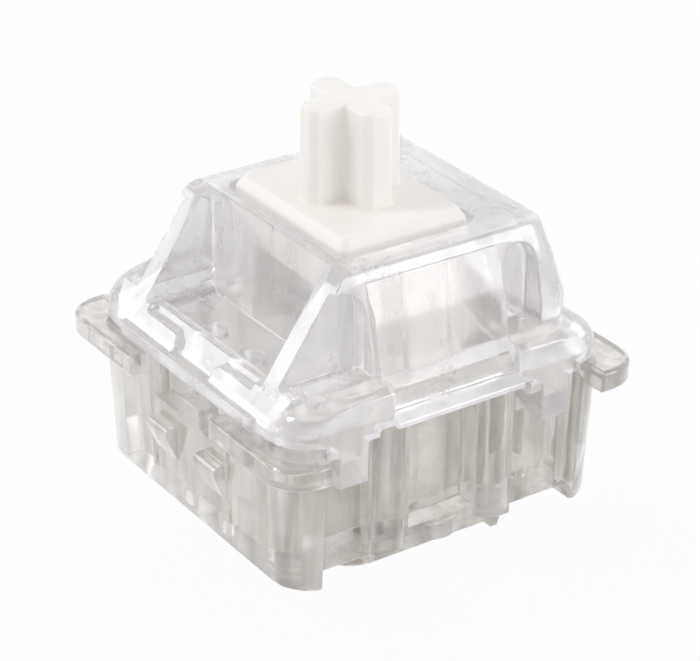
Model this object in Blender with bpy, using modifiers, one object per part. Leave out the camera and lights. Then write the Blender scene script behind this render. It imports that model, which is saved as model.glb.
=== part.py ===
"""Mechanical keyboard switch: a clear two-part housing, a cream slider on a spring, and two contact leaves.

The origin is the centre of the base on the circuit board, +Z points up to the keycap and -Y to the LED side.
"""

import math

import bmesh
import bpy
from mathutils import Matrix, Vector

MM = 0.001
CUT = 1.0 * MM  # how far a cutter runs past the face that it opens
LAP = 0.5 * MM  # how far a joined shape runs into its neighbour
MERGE = 1e-6

# Base body, which drops through the square hole of the mounting plate
BODY_WIDTH = 13.95 * MM
BODY_CORNER_RADIUS = 1.5 * MM
BASE_WIDTH = 13.6 * MM
BASE_EDGE = 0.2 * MM
SIDE_WALL = 0.85 * MM
FLOOR = 1.0 * MM
PLATE_SEAT_HEIGHT = 5.0 * MM
FLANGE_WIDTH = 15.6 * MM
FLANGE_THICKNESS = 0.9 * MM
FLANGE_CORNER_RADIUS = 1.3 * MM
FLANGE_EDGE = 0.12 * MM
FLANGE_SIDE_GAP = 11.9 * MM
TONGUE_GAP = 5.4 * MM

# East and west walls of the base: two half-round columns beside a deep recess, and a window for each clip leg
RECESSED_WALL_WIDTH = 12.1 * MM
WINDOW_WALL_WIDTH = 11.1 * MM
WINDOW_BAY_INNER = 3.2 * MM
WINDOW_BAY_OUTER = 5.65 * MM
COLUMN_RADIUS = 0.95 * MM
COLUMN_PITCH = 4.7 * MM
COLUMN_STAND_OUT = 0.35 * MM
COLUMN_FOOT = 0.35 * MM
SIDE_BOSS_RADIUS = 0.9 * MM
SIDE_BOSS_HEIGHT = 0.8 * MM
RECESS_WIDTH = 2.9 * MM
RECESS_SILL = 0.95 * MM
GUIDE_WALL = 0.75 * MM
GUIDE_WIDTH = 4.6 * MM

# Plate tongues on the LED side and the contact side
TONGUE_SLIT = 0.22 * MM
TONGUE_WIDTH = 5.0 * MM
TONGUE_HEAD_WIDTH = 1.5 * MM
TONGUE_ROOT_HEIGHT = 1.1 * MM
TONGUE_SHOULDER_DROP = 0.8 * MM
PLATE_THICKNESS = 1.5 * MM
NUB_HEIGHT = 1.4 * MM
NUB_LAND = 0.2 * MM
NUB_TOP_RUN = 0.15 * MM
NUB_TOP_SLOPE = 0.1 * MM
NUB_STAND_OUT = 0.4 * MM
NUB_WIDTH = 1.45 * MM
NUB_PITCH = 3.3 * MM

# Centre post, guide tube and circuit board holes
POST_DIAMETER = 4.0 * MM
POST_LENGTH = 3.3 * MM
POST_CHAMFER = 0.15 * MM
TUBE_DIAMETER = 3.0 * MM
TUBE_DROP = 0.5 * MM
BORE_RUNOUT = 0.5 * MM
LED_HOLE_DIAMETER = 1.0 * MM
LED_HOLE_PITCH = 2.54 * MM
LED_HOLE_Y = -5.08 * MM

# Cover. Its rises are heights above the flange
COVER_RISE = 5.3 * MM
COVER_WALL = 0.8 * MM
COVER_TOP_WIDTH = 10.0 * MM
COVER_TOP_SOUTH = -3.7 * MM
COVER_TOP_NORTH = 5.3 * MM
COVER_RADIUS = 0.8 * MM
COVER_EDGE = 0.22 * MM
HIP_RISE = 3.8 * MM
HIP_FLARE = 0.4 * MM
HIP_NORTH = 5.65 * MM
WAIST_RISE = 2.3 * MM
WAIST_FLARE = 0.75 * MM
WAIST_NORTH = 5.95 * MM
CAVITY_WIDTH = 8.4 * MM
CAVITY_RADIUS = 0.5 * MM
SKIRT_WIDTH = 13.8 * MM
SKIRT_DEPTH = 14.0 * MM
SKIRT_RADIUS = 1.6 * MM
SKIRT_HEIGHT = 0.4 * MM
SKIRT_WALL = 0.75 * MM
SKIRT_BAR_WIDTH = 9.0 * MM
SKIRT_BAR_HEIGHT = 0.5 * MM
SKIRT_BAR_STAND_OUT = 0.2 * MM
SEAM = 0.06 * MM

# Latch blocks at the four corners of the cover, each with a flat ledge and a round end
LEDGE_RISE = 1.6 * MM
LEDGE_WALL = 0.8 * MM
LEDGE_EDGE = 0.25 * MM
LATCH_PITCH = 5.4 * MM
SHOULDER_RUN = 1.15 * MM
LEG_WIDTH = 1.2 * MM
LEG_THICKNESS = 0.75 * MM
LEG_DROP = 0.9 * MM
LEG_SHOULDER_DROP = 0.2 * MM
HOOK_HEIGHT = 0.75 * MM
HOOK_LAND = 0.3 * MM
HOOK_REACH = 0.45 * MM
WINDOW_CLEARANCE = 0.12 * MM

# Pockets beside the hood in the middle of the east and west faces
POCKET_WALL = 0.6 * MM
POCKET_INNER = 3.0 * MM
POCKET_OUTER = 4.5 * MM
POCKET_ROOF = 0.6 * MM
HOOD_WIDTH = 5.6 * MM
HOOD_STAND_OUT = 0.2 * MM
HOOD_FOOT_STAND_OUT = 0.3 * MM
HOOD_KNEE_RISE = 1.1 * MM
HOOD_KNEE_FLARE = 1.2 * MM

# LED recess in the cover's sloping south face, with a toe at the foot of each rib
RIB_INNER_PITCH = 7.9 * MM
LED_RECESS_RISE = 1.0 * MM
LED_RECESS_FLOOR = 0.7 * MM
LED_RECESS_WALL = 0.6 * MM
LED_RECESS_RADIUS = 0.5 * MM
SILL_HEIGHT = 0.4 * MM
SILL_Y = -5.75 * MM
TOE_RISE = 1.15 * MM
TOE_GAP = 2.5 * MM
TOE_STEP = 0.4 * MM
TOE_RADIUS = 0.35 * MM
FRONT_SINK = 0.3 * MM

# Slider. Its drops are depths below the top of the cover
TRAVEL = 4.0 * MM
SLIDE_CLEARANCE = 0.1 * MM
PLATE_WIDTH = 7.2 * MM
PLATE_DEPTH = 5.5 * MM
PLATE_RISE = 0.5 * MM
PLATE_SLOPE = 0.26 * MM
PLATE_CORNER_RADIUS = 0.3 * MM
CROWN_THICKNESS = 1.6 * MM
CROSS_HEIGHT = 3.7 * MM
CROSS_SPAN = 4.05 * MM
CROSS_ARM_EAST = 1.31 * MM
CROSS_ARM_NORTH = 1.17 * MM
CROSS_CORNER = 0.26 * MM
CROSS_DRAFT = 0.05 * MM
CROSS_EDGE = 0.14 * MM
CHEEK_THICKNESS = 0.85 * MM
CHEEK_DEPTH = 4.2 * MM
RAIL_WIDTH = 1.8 * MM
RAIL_REACH = 0.75 * MM
RAIL_RADIUS = 0.2 * MM
CHEEK_DROP = 5.5 * MM
FINGER_WIDTH = 0.9 * MM
FINGER_X = 2.3 * MM
FINGER_DROP = 5.8 * MM
FINGER_THICKNESS = 0.9 * MM
CAM_REACH = 0.9 * MM
CAM_HEIGHT = 1.6 * MM
CAM_NOSE_BOTTOM = 0.5 * MM
CAM_NOSE_TOP = 0.8 * MM
POLE_DIAMETER = 1.9 * MM
POLE_DROP = 7.6 * MM
POLE_TIP = 0.3 * MM

# Return spring
SPRING_DIAMETER = 4.2 * MM
SPRING_WIRE = 0.26 * MM
SPRING_TURNS = 10
SPRING_END_TURNS = 1.25
SPRING_POINTS_PER_TURN = 16
SPRING_GAP = 0.05 * MM

# Contacts. Their heights are taken from the top of the flange
LEAF_THICKNESS = 0.2 * MM
LEAF_FOOT_GAP = 0.05 * MM
PIN_LENGTH = 2.9 * MM
PIN_WIDTH = 0.9 * MM
PIN_TIP_WIDTH = 0.45 * MM
PIN_THICKNESS = 0.3 * MM
PIN_LAP = 0.8 * MM
PIN_TAPER = 0.6 * MM
PIN_SLOT_CLEARANCE = 0.1 * MM
FIXED_PIN_X = 2.54 * MM
FIXED_PIN_Y = 5.08 * MM
FIXED_LEAF_WIDTH = 2.6 * MM
FIXED_LEAF_RISE = 0.4 * MM
MOVING_PIN_X = -3.81 * MM
MOVING_PIN_Y = 2.54 * MM
MOVING_ROOT_WIDTH = 1.5 * MM
MOVING_ARM_HEIGHT = 1.9 * MM
LEAF_BEND_RADIUS = 0.5 * MM
LEAF_SLOT_HEIGHT = 0.4 * MM
POINT_LENGTH = 0.9 * MM
POINT_WIDTH = 0.4 * MM
POINT_RIDGE_WIDTH = 0.1 * MM
POINT_HEIGHT = 0.26 * MM
POINT_DROP = 0.6 * MM
WELD_GAP = 0.02 * MM
CAM_GAP = 0.08 * MM

# Heights and places that follow from the sizes above
FLANGE_TOP = PLATE_SEAT_HEIGHT + FLANGE_THICKNESS
TONGUE_SHOULDER_HEIGHT = PLATE_SEAT_HEIGHT - TONGUE_SHOULDER_DROP
TUBE_HEIGHT = PLATE_SEAT_HEIGHT - TUBE_DROP
LEG_BOTTOM = PLATE_SEAT_HEIGHT - LEG_DROP
LEG_SHOULDER_BOTTOM = FLANGE_TOP - LEG_SHOULDER_DROP
SKIRT_BOTTOM = FLANGE_TOP + SEAM
SKIRT_TOP = SKIRT_BOTTOM + SKIRT_HEIGHT
LEDGE_HEIGHT = FLANGE_TOP + LEDGE_RISE
HOOD_KNEE_HEIGHT = FLANGE_TOP + HOOD_KNEE_RISE
WAIST_HEIGHT = FLANGE_TOP + WAIST_RISE
HIP_HEIGHT = FLANGE_TOP + HIP_RISE
COVER_HEIGHT = FLANGE_TOP + COVER_RISE
COVER_CEILING = COVER_HEIGHT - COVER_WALL
LED_FLOOR_HEIGHT = FLANGE_TOP + LED_RECESS_RISE
TOE_HEIGHT = FLANGE_TOP + TOE_RISE
HIP_WIDTH = COVER_TOP_WIDTH + 2 * HIP_FLARE
WAIST_WIDTH = COVER_TOP_WIDTH + 2 * WAIST_FLARE
HOOD_KNEE_WIDTH = COVER_TOP_WIDTH + 2 * HOOD_KNEE_FLARE
SLIDER_PLATE_TOP = COVER_HEIGHT + PLATE_RISE
CROWN_BOTTOM = COVER_HEIGHT - CROWN_THICKNESS
CROWN_LAP = CROWN_BOTTOM + LAP
RAIL_TOP = COVER_CEILING - SLIDE_CLEARANCE
CHEEK_BOTTOM = COVER_HEIGHT - CHEEK_DROP
FINGER_BOTTOM = COVER_HEIGHT - FINGER_DROP
POLE_BOTTOM = COVER_HEIGHT - POLE_DROP
STEM_TOP = SLIDER_PLATE_TOP + CROSS_HEIGHT
LED_WALL_Y = -(PLATE_DEPTH / 2 + SLIDE_CLEARANCE + LED_RECESS_WALL)
RAIL_X = PLATE_WIDTH / 2 + RAIL_REACH
LEG_Y = (WINDOW_BAY_INNER + WINDOW_BAY_OUTER) / 2
GUIDE_X = RAIL_X + SLIDE_CLEARANCE
POCKET_X = CAVITY_WIDTH / 2 + POCKET_WALL
FINGER_FRONT_Y = PLATE_DEPTH / 2 + CAM_REACH
ARM_Y = FINGER_FRONT_Y + CAM_GAP + LEAF_THICKNESS / 2
LEAF_FOOT = FLOOR + LEAF_FOOT_GAP
FIXED_LEAF_TOP = FLANGE_TOP + FIXED_LEAF_RISE
MOVING_ARM_BOTTOM = FLANGE_TOP - MOVING_ARM_HEIGHT
POINT_Z = FLANGE_TOP - POINT_DROP


def clear_scene():
    for old in list(bpy.data.objects):
        bpy.data.objects.remove(old, do_unlink=True)


def make_collection(name):
    made = bpy.data.collections.new(name)
    bpy.context.scene.collection.children.link(made)
    return made


def make_material(name, colour, roughness, metallic=0.0, transmission=0.0):
    material = bpy.data.materials.new(name)
    material.use_nodes = True
    shader = material.node_tree.nodes["Principled BSDF"]
    shader.inputs["Base Color"].default_value = (*colour, 1.0)
    shader.inputs["Roughness"].default_value = roughness
    shader.inputs["Metallic"].default_value = metallic
    shader.inputs["Transmission Weight"].default_value = transmission
    return material


clear_scene()
PARTS = make_collection("keyboard_switch")
CUTTERS = make_collection("cutters")


def add_object(name, mesh):
    """A helper at first: finish() turns it into one of the parts."""
    made = bpy.data.objects.new(name, mesh)
    CUTTERS.objects.link(made)
    made.hide_render = True
    made.display_type = "WIRE"
    return made


def finish(made, material):
    CUTTERS.objects.unlink(made)
    PARTS.objects.link(made)
    made.hide_render = False
    made.display_type = "TEXTURED"
    made.data.materials.clear()
    made.data.materials.append(material)


def mesh_from(name, builder):
    work = bmesh.new()
    builder(work)
    bmesh.ops.recalc_face_normals(work, faces=work.faces)
    mesh = bpy.data.meshes.new(name)
    work.to_mesh(mesh)
    work.free()
    return mesh


def block(name, x, y, z):
    """A box between two limits on each axis."""
    size = Vector((x[1] - x[0], y[1] - y[0], z[1] - z[0]))
    centre = Vector((x[0] + x[1], y[0] + y[1], z[0] + z[1])) / 2
    place = Matrix.Translation(centre) @ Matrix.Diagonal((*size, 1.0))
    return add_object(name, mesh_from(name, lambda work: bmesh.ops.create_cube(work, size=1.0, matrix=place)))


def rod(name, radius, z, x=0.0, y=0.0, segments=32):
    """An upright cylinder between two heights."""
    place = Matrix.Translation((x, y, (z[0] + z[1]) / 2))

    def build(work):
        bmesh.ops.create_cone(
            work,
            cap_ends=True,
            segments=segments,
            radius1=radius,
            radius2=radius,
            depth=z[1] - z[0],
            matrix=place,
        )

    return add_object(name, mesh_from(name, build))


def rounded_ring(x, y, radius, z, steps=5):
    """The points of a rectangle with round corners, anticlockwise at one height."""
    points = []
    corners = ((x[1], y[0], -90), (x[1], y[1], 0), (x[0], y[1], 90), (x[0], y[0], 180))
    for corner_x, corner_y, start in corners:
        centre_x = corner_x - math.copysign(radius, corner_x - (x[0] + x[1]) / 2)
        centre_y = corner_y - math.copysign(radius, corner_y - (y[0] + y[1]) / 2)
        for step in range(steps + 1):
            angle = math.radians(start + 90 * step / steps)
            points.append((centre_x + radius * math.cos(angle), centre_y + radius * math.sin(angle), z))
    return points


def square_ring(half_x, half_y, radius, z):
    return rounded_ring((-half_x, half_x), (-half_y, half_y), radius, z)


def loft(name, rings):
    """A closed body through rings of points that match one to one."""

    def build(work):
        rows = [[work.verts.new(point) for point in ring] for ring in rings]
        for lower, upper in zip(rows, rows[1:]):
            for index in range(len(lower)):
                following = (index + 1) % len(lower)
                work.faces.new((lower[index], lower[following], upper[following], upper[index]))
        work.faces.new(reversed(rows[0]))
        work.faces.new(rows[-1])

    return add_object(name, mesh_from(name, build))


def plate(name, outline, reach, axis="Z"):
    """A flat outline extruded between two limits along an axis.

    The outline holds (y, z) pairs on the X axis, (x, z) pairs on Y and (x, y) pairs on Z.
    """
    curve = bpy.data.curves.new(name, "CURVE")
    curve.dimensions = "2D"
    curve.fill_mode = "BOTH"
    curve.extrude = (reach[1] - reach[0]) / 2
    spline = curve.splines.new("POLY")
    spline.points.add(len(outline) - 1)
    for point, (first, second) in zip(spline.points, outline):
        point.co = (first, second, 0.0, 1.0)
    spline.use_cyclic_u = True
    flat = bpy.data.objects.new(name + "_curve", curve)
    CUTTERS.objects.link(flat)
    middle = (reach[0] + reach[1]) / 2
    turns = {
        "X": Matrix(((0, 0, 1, middle), (1, 0, 0, 0), (0, 1, 0, 0), (0, 0, 0, 1))),
        "Y": Matrix(((1, 0, 0, 0), (0, 0, -1, middle), (0, 1, 0, 0), (0, 0, 0, 1))),
        "Z": Matrix.Translation((0, 0, middle)),
    }
    bpy.context.view_layer.update()
    evaluated = flat.evaluated_get(bpy.context.evaluated_depsgraph_get())
    mesh = bpy.data.meshes.new_from_object(evaluated)
    mesh.transform(turns[axis])
    bpy.data.objects.remove(flat, do_unlink=True)
    bpy.data.curves.remove(curve)
    work = bmesh.new()
    work.from_mesh(mesh)
    bmesh.ops.remove_doubles(work, verts=work.verts, dist=MERGE)
    bmesh.ops.recalc_face_normals(work, faces=work.faces)
    work.to_mesh(mesh)
    work.free()
    return add_object(name, mesh)


def turned(name, profile, segments=32):
    """A profile of (radius, height) pairs, from the top down, turned about the Z axis."""
    mesh = bpy.data.meshes.new(name)
    points = [(radius, 0.0, height) for radius, height in profile]
    edges = [(index, index + 1) for index in range(len(points) - 1)]
    mesh.from_pydata(points, edges, [])
    made = add_object(name, mesh)
    screw = made.modifiers.new("turn", "SCREW")
    screw.steps = segments
    screw.render_steps = segments
    screw.use_merge_vertices = True
    screw.merge_threshold = MERGE
    return made


def boolean(target, tool, operation):
    modifier = target.modifiers.new(tool.name, "BOOLEAN")
    modifier.operation = operation
    modifier.solver = "EXACT"
    modifier.object = tool


def cut(target, *tools):
    for tool in tools:
        boolean(target, tool, "DIFFERENCE")


def join(target, *tools):
    for tool in tools:
        boolean(target, tool, "UNION")


def span(first, second):
    return (min(first, second), max(first, second))


def smooth(made, angle_deg=35.0):
    made.data.shade_smooth()
    made.data.set_sharp_from_angle(angle=math.radians(angle_deg))


def base_shell():
    """The body and flange, hollowed, with the bays of the east and west walls taken out."""
    half = BODY_WIDTH / 2
    foot = BASE_WIDTH / 2
    shell = loft(
        "bottom_housing",
        [
            square_ring(foot - BASE_EDGE, foot - BASE_EDGE, BODY_CORNER_RADIUS, 0.0),
            square_ring(foot, foot, BODY_CORNER_RADIUS, BASE_EDGE),
            square_ring(half, half, BODY_CORNER_RADIUS, PLATE_SEAT_HEIGHT),
            square_ring(half, half, BODY_CORNER_RADIUS, FLANGE_TOP),
        ],
    )
    rim = FLANGE_WIDTH / 2
    flange = loft(
        "flange",
        [
            square_ring(rim - FLANGE_EDGE, rim - FLANGE_EDGE, FLANGE_CORNER_RADIUS, PLATE_SEAT_HEIGHT),
            square_ring(rim, rim, FLANGE_CORNER_RADIUS, PLATE_SEAT_HEIGHT + FLANGE_EDGE),
            square_ring(rim, rim, FLANGE_CORNER_RADIUS, FLANGE_TOP - FLANGE_EDGE),
            square_ring(rim - FLANGE_EDGE, rim - FLANGE_EDGE, FLANGE_CORNER_RADIUS, FLANGE_TOP),
        ],
    )
    join(shell, flange)
    window_wall = WINDOW_WALL_WIDTH / 2
    cavity_x = window_wall - SIDE_WALL
    cavity_y = half - SIDE_WALL
    cavity = loft(
        "base_cavity",
        [
            square_ring(cavity_x, cavity_y, COVER_WALL, FLOOR),
            square_ring(cavity_x, cavity_y, COVER_WALL, FLANGE_TOP + CUT),
        ],
    )
    for side, name in ((-1, "west"), (1, "east")):
        guide = block(
            f"guide_wall_{name}",
            span(side * GUIDE_X, side * (cavity_x + CUT)),
            (-GUIDE_WIDTH / 2, GUIDE_WIDTH / 2),
            (0.0, FLANGE_TOP + 2 * CUT),
        )
        cut(cavity, guide)
    cut(shell, cavity)
    return shell


def side_bays(shell):
    """The recessed east and west walls, their columns, and the windows for the clip legs."""
    wall = RECESSED_WALL_WIDTH / 2
    window_wall = WINDOW_WALL_WIDTH / 2
    outside = FLANGE_WIDTH / 2 + CUT
    through = (-CUT, FLANGE_TOP + CUT)
    for side, name in ((-1, "west"), (1, "east")):
        flange_gap = block(
            f"flange_gap_{name}",
            span(side * BODY_WIDTH / 2, side * outside),
            (-FLANGE_SIDE_GAP / 2, FLANGE_SIDE_GAP / 2),
            (PLATE_SEAT_HEIGHT - CUT, FLANGE_TOP + CUT),
        )
        middle = block(
            f"recessed_wall_{name}",
            span(side * wall, side * outside),
            (-WINDOW_BAY_OUTER, WINDOW_BAY_OUTER),
            through,
        )
        cut(shell, flange_gap, middle)
        for end, label in ((-1, "south"), (1, "north")):
            column = rod(
                f"column_{name}_{label}",
                COLUMN_RADIUS,
                (COLUMN_FOOT, FLANGE_TOP - SEAM),
                side * (wall + COLUMN_STAND_OUT - COLUMN_RADIUS),
                end * COLUMN_PITCH / 2,
                24,
            )
            join(shell, column)
            bay = block(
                f"window_bay_{name}_{label}",
                span(side * window_wall, side * outside),
                span(end * WINDOW_BAY_INNER, end * WINDOW_BAY_OUTER),
                through,
            )
            cut(shell, bay)
            window = block(
                f"hook_window_{name}_{label}",
                span(side * (window_wall - SIDE_WALL - CUT), side * outside),
                (
                    end * LEG_Y - LEG_WIDTH / 2 - WINDOW_CLEARANCE,
                    end * LEG_Y + LEG_WIDTH / 2 + WINDOW_CLEARANCE,
                ),
                (LEG_BOTTOM - WINDOW_CLEARANCE, LEG_BOTTOM + HOOK_HEIGHT + WINDOW_CLEARANCE),
            )
            cut(shell, window)
        boss = rod(
            f"side_boss_{name}",
            SIDE_BOSS_RADIUS,
            (BASE_EDGE, SIDE_BOSS_HEIGHT),
            side * (wall + COLUMN_STAND_OUT - SIDE_BOSS_RADIUS),
            segments=24,
        )
        join(shell, boss)
        recess = block(
            f"side_recess_{name}",
            span(side * (GUIDE_X + GUIDE_WALL), side * outside),
            (-RECESS_WIDTH / 2, RECESS_WIDTH / 2),
            (RECESS_SILL, FLANGE_TOP + CUT),
        )
        cut(shell, recess)


def tongue_cuts(shell):
    """The flange gap, slits and openings that free a plate tongue in the south and north walls."""
    outer = FLANGE_WIDTH / 2 + CUT
    inner = BODY_WIDTH / 2 - SIDE_WALL - CUT
    for end, label in ((-1, "south"), (1, "north")):
        reach = span(end * inner, end * outer)
        gap = block(
            f"tongue_gap_{label}",
            (-TONGUE_GAP / 2, TONGUE_GAP / 2),
            reach,
            (PLATE_SEAT_HEIGHT, FLANGE_TOP + CUT),
        )
        cut(shell, gap)
        front = block(
            f"tongue_front_{label}",
            (-TONGUE_GAP / 2, TONGUE_GAP / 2),
            span(end * BODY_WIDTH / 2, end * outer),
            (PLATE_SEAT_HEIGHT - CUT, FLANGE_TOP + CUT),
        )
        cut(shell, front)
        for side, name in ((-1, "west"), (1, "east")):
            slit = block(
                f"tongue_slit_{label}_{name}",
                span(side * TONGUE_WIDTH / 2, side * (TONGUE_WIDTH / 2 + TONGUE_SLIT)),
                reach,
                (TONGUE_ROOT_HEIGHT, PLATE_SEAT_HEIGHT + CUT),
            )
            opening = block(
                f"tongue_opening_{label}_{name}",
                span(side * TONGUE_HEAD_WIDTH / 2, side * (TONGUE_WIDTH + TONGUE_SLIT) / 2),
                reach,
                (TONGUE_SHOULDER_HEIGHT, PLATE_SEAT_HEIGHT + CUT),
            )
            cut(shell, slit, opening)


def plate_nubs(shell):
    """The wedge nubs that hold the plate against the flange, two on each tongue."""
    top = PLATE_SEAT_HEIGHT - PLATE_THICKNESS
    face = BODY_WIDTH / 2
    root = face - SIDE_WALL / 2
    for end, label in ((-1, "south"), (1, "north")):
        profile = [
            (end * root, top - NUB_HEIGHT),
            (end * (face - SEAM), top - NUB_HEIGHT),
            (end * (face + NUB_STAND_OUT), top - NUB_TOP_RUN - NUB_LAND),
            (end * (face + NUB_STAND_OUT), top - NUB_TOP_RUN),
            (end * (face + NUB_STAND_OUT - NUB_TOP_SLOPE), top),
            (end * root, top),
        ]
        for side, name in ((-1, "west"), (1, "east")):
            middle = side * NUB_PITCH / 2
            nub = plate(f"nub_{label}_{name}", profile, (middle - NUB_WIDTH / 2, middle + NUB_WIDTH / 2), "X")
            join(shell, nub)


def base_centre(shell):
    """The centre post below, the guide tube above, the pole's bore, and the holes for pins and LED leads."""
    post = POST_DIAMETER / 2
    tube = TUBE_DIAMETER / 2
    middle = FLOOR / 2
    core = turned(
        "post_and_tube",
        [
            (0.0, TUBE_HEIGHT),
            (tube - SEAM, TUBE_HEIGHT),
            (tube, TUBE_HEIGHT - SEAM),
            (tube, middle),
            (post, middle),
            (post, POST_CHAMFER - POST_LENGTH),
            (post - POST_CHAMFER, -POST_LENGTH),
            (0.0, -POST_LENGTH),
        ],
        40,
    )
    join(shell, core)
    bore = rod(
        "pole_bore",
        POLE_DIAMETER / 2 + SLIDE_CLEARANCE,
        (POLE_BOTTOM - TRAVEL - BORE_RUNOUT, TUBE_HEIGHT + CUT),
    )
    cut(shell, bore)
    for side, name in ((-1, "west"), (1, "east")):
        hole = rod(
            f"led_hole_{name}",
            LED_HOLE_DIAMETER / 2,
            (-CUT, FLOOR + CUT),
            side * LED_HOLE_PITCH / 2,
            LED_HOLE_Y,
            20,
        )
        cut(shell, hole)
    wide = PIN_WIDTH / 2 + PIN_SLOT_CLEARANCE
    thin = PIN_THICKNESS / 2 + PIN_SLOT_CLEARANCE
    through = (-CUT, FLOOR + CUT)
    fixed_slot = block(
        "fixed_pin_slot",
        (FIXED_PIN_X - wide, FIXED_PIN_X + wide),
        (FIXED_PIN_Y - thin, FIXED_PIN_Y + thin),
        through,
    )
    moving_slot = block(
        "moving_pin_slot",
        (MOVING_PIN_X - thin, MOVING_PIN_X + thin),
        (MOVING_PIN_Y - wide, MOVING_PIN_Y + wide),
        through,
    )
    cut(shell, fixed_slot, moving_slot)


def build_bottom_housing(material):
    shell = base_shell()
    side_bays(shell)
    tongue_cuts(shell)
    plate_nubs(shell)
    base_centre(shell)
    finish(shell, material)
    return shell


def cover_ring(width, south, north, radius, z):
    return rounded_ring((-width / 2, width / 2), (south, north), radius, z)


def blended(start, end, share):
    return start + (end - start) * share


def latch_blocks():
    """The lower half of the cover: a skirt, and corner blocks whose ends round over to a flat ledge."""
    half_x = SKIRT_WIDTH / 2
    half_y = SKIRT_DEPTH / 2
    rings = [square_ring(half_x, half_y, SKIRT_RADIUS, SKIRT_BOTTOM)]
    steps = 5
    for step in range(steps + 1):
        angle = math.radians(90 * step / steps)
        back = SHOULDER_RUN * (1 - math.cos(angle))
        height = blended(SKIRT_TOP, LEDGE_HEIGHT - LEDGE_EDGE, math.sin(angle))
        rings.append(square_ring(half_x, half_y - back, SKIRT_RADIUS, height))
    ledge_y = half_y - SHOULDER_RUN - LEDGE_EDGE
    rings.append(square_ring(half_x - LEDGE_EDGE, ledge_y, SKIRT_RADIUS, LEDGE_HEIGHT))
    blocks = loft("top_housing", rings)
    for side, name in ((-1, "west"), (1, "east")):
        middle = block(
            f"hood_place_{name}",
            span(side * (WAIST_WIDTH / 2 - LAP), side * (half_x + CUT)),
            (-LATCH_PITCH / 2, LATCH_PITCH / 2),
            (SKIRT_BOTTOM - CUT, LEDGE_HEIGHT + CUT),
        )
        cut(blocks, middle)
    return blocks


def cover_crown():
    """The upper half of the cover, narrowing to its flat top with a round edge."""
    south = LEDGE_EDGE - SKIRT_DEPTH / 2
    edge = COVER_EDGE
    return loft(
        "cover_crown",
        [
            cover_ring(WAIST_WIDTH, south, WAIST_NORTH, COVER_RADIUS, SKIRT_BOTTOM + SEAM),
            cover_ring(WAIST_WIDTH, south, WAIST_NORTH, COVER_RADIUS, WAIST_HEIGHT),
            cover_ring(HIP_WIDTH, south, HIP_NORTH, COVER_RADIUS, HIP_HEIGHT),
            cover_ring(COVER_TOP_WIDTH, south, COVER_TOP_NORTH, COVER_RADIUS, COVER_HEIGHT - edge),
            cover_ring(
                COVER_TOP_WIDTH - edge,
                south,
                COVER_TOP_NORTH - edge / 2,
                COVER_RADIUS,
                COVER_HEIGHT - edge / 4,
            ),
            cover_ring(COVER_TOP_WIDTH - 2 * edge, south, COVER_TOP_NORTH - edge, COVER_RADIUS, COVER_HEIGHT),
        ],
    )


def south_face_y(height, sink=0.0):
    """Where the sloping south face, or a face sunk behind it, stands at a height."""
    share = (height - SKIRT_TOP) / (COVER_HEIGHT - SKIRT_TOP)
    return blended(-SKIRT_DEPTH / 2, COVER_TOP_SOUTH, share) + sink


def south_face():
    """The cutter that leaves the flat slope from the skirt's foot up to the rounded top edge."""
    beyond = -FLANGE_WIDTH
    low = SKIRT_BOTTOM - CUT
    edge_height = COVER_HEIGHT - COVER_EDGE
    outline = [
        (south_face_y(low), low),
        (south_face_y(edge_height), edge_height),
        (COVER_TOP_SOUTH + COVER_EDGE / 2, COVER_HEIGHT - COVER_EDGE / 4),
        (COVER_TOP_SOUTH + COVER_EDGE, COVER_HEIGHT),
        (COVER_TOP_SOUTH + COVER_EDGE, COVER_HEIGHT + CUT),
        (beyond, COVER_HEIGHT + CUT),
        (beyond, low),
    ]
    return plate("south_face", outline, (-FLANGE_WIDTH / 2, FLANGE_WIDTH / 2), "X")


def arc(centre, radius, start_deg, end_deg, steps=5):
    """Points of a circle's arc in a flat outline."""
    points = []
    for step in range(steps + 1):
        angle = math.radians(blended(start_deg, end_deg, step / steps))
        points.append((centre[0] + radius * math.cos(angle), centre[1] + radius * math.sin(angle)))
    return points


def led_recess():
    """The recess between the ribs, with a floor, a raised sill at its front and round lower corners."""
    sill = LED_FLOOR_HEIGHT + SILL_HEIGHT
    far = -FLANGE_WIDTH / 2 - CUT
    side_view = plate(
        "led_recess",
        [
            (LED_WALL_Y, COVER_HEIGHT + CUT),
            (LED_WALL_Y, LED_FLOOR_HEIGHT - LAP),
            (SILL_Y, LED_FLOOR_HEIGHT - LAP),
            (SILL_Y, sill),
            (far, sill),
            (far, COVER_HEIGHT + CUT),
        ],
        (-COVER_TOP_WIDTH / 2, COVER_TOP_WIDTH / 2),
        "X",
    )
    half = RIB_INNER_PITCH / 2
    radius = LED_RECESS_RADIUS
    bottom = LED_FLOOR_HEIGHT + radius
    outline = arc((radius - half, bottom), radius, 180, 270)
    outline += arc((half - radius, bottom), radius, 270, 360)
    outline += [(half, COVER_HEIGHT + 2 * CUT), (-half, COVER_HEIGHT + 2 * CUT)]
    front_view = plate("led_recess_front", outline, (far - CUT, LED_WALL_Y + CUT), "Y")
    boolean(side_view, front_view, "INTERSECT")
    return side_view


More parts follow.
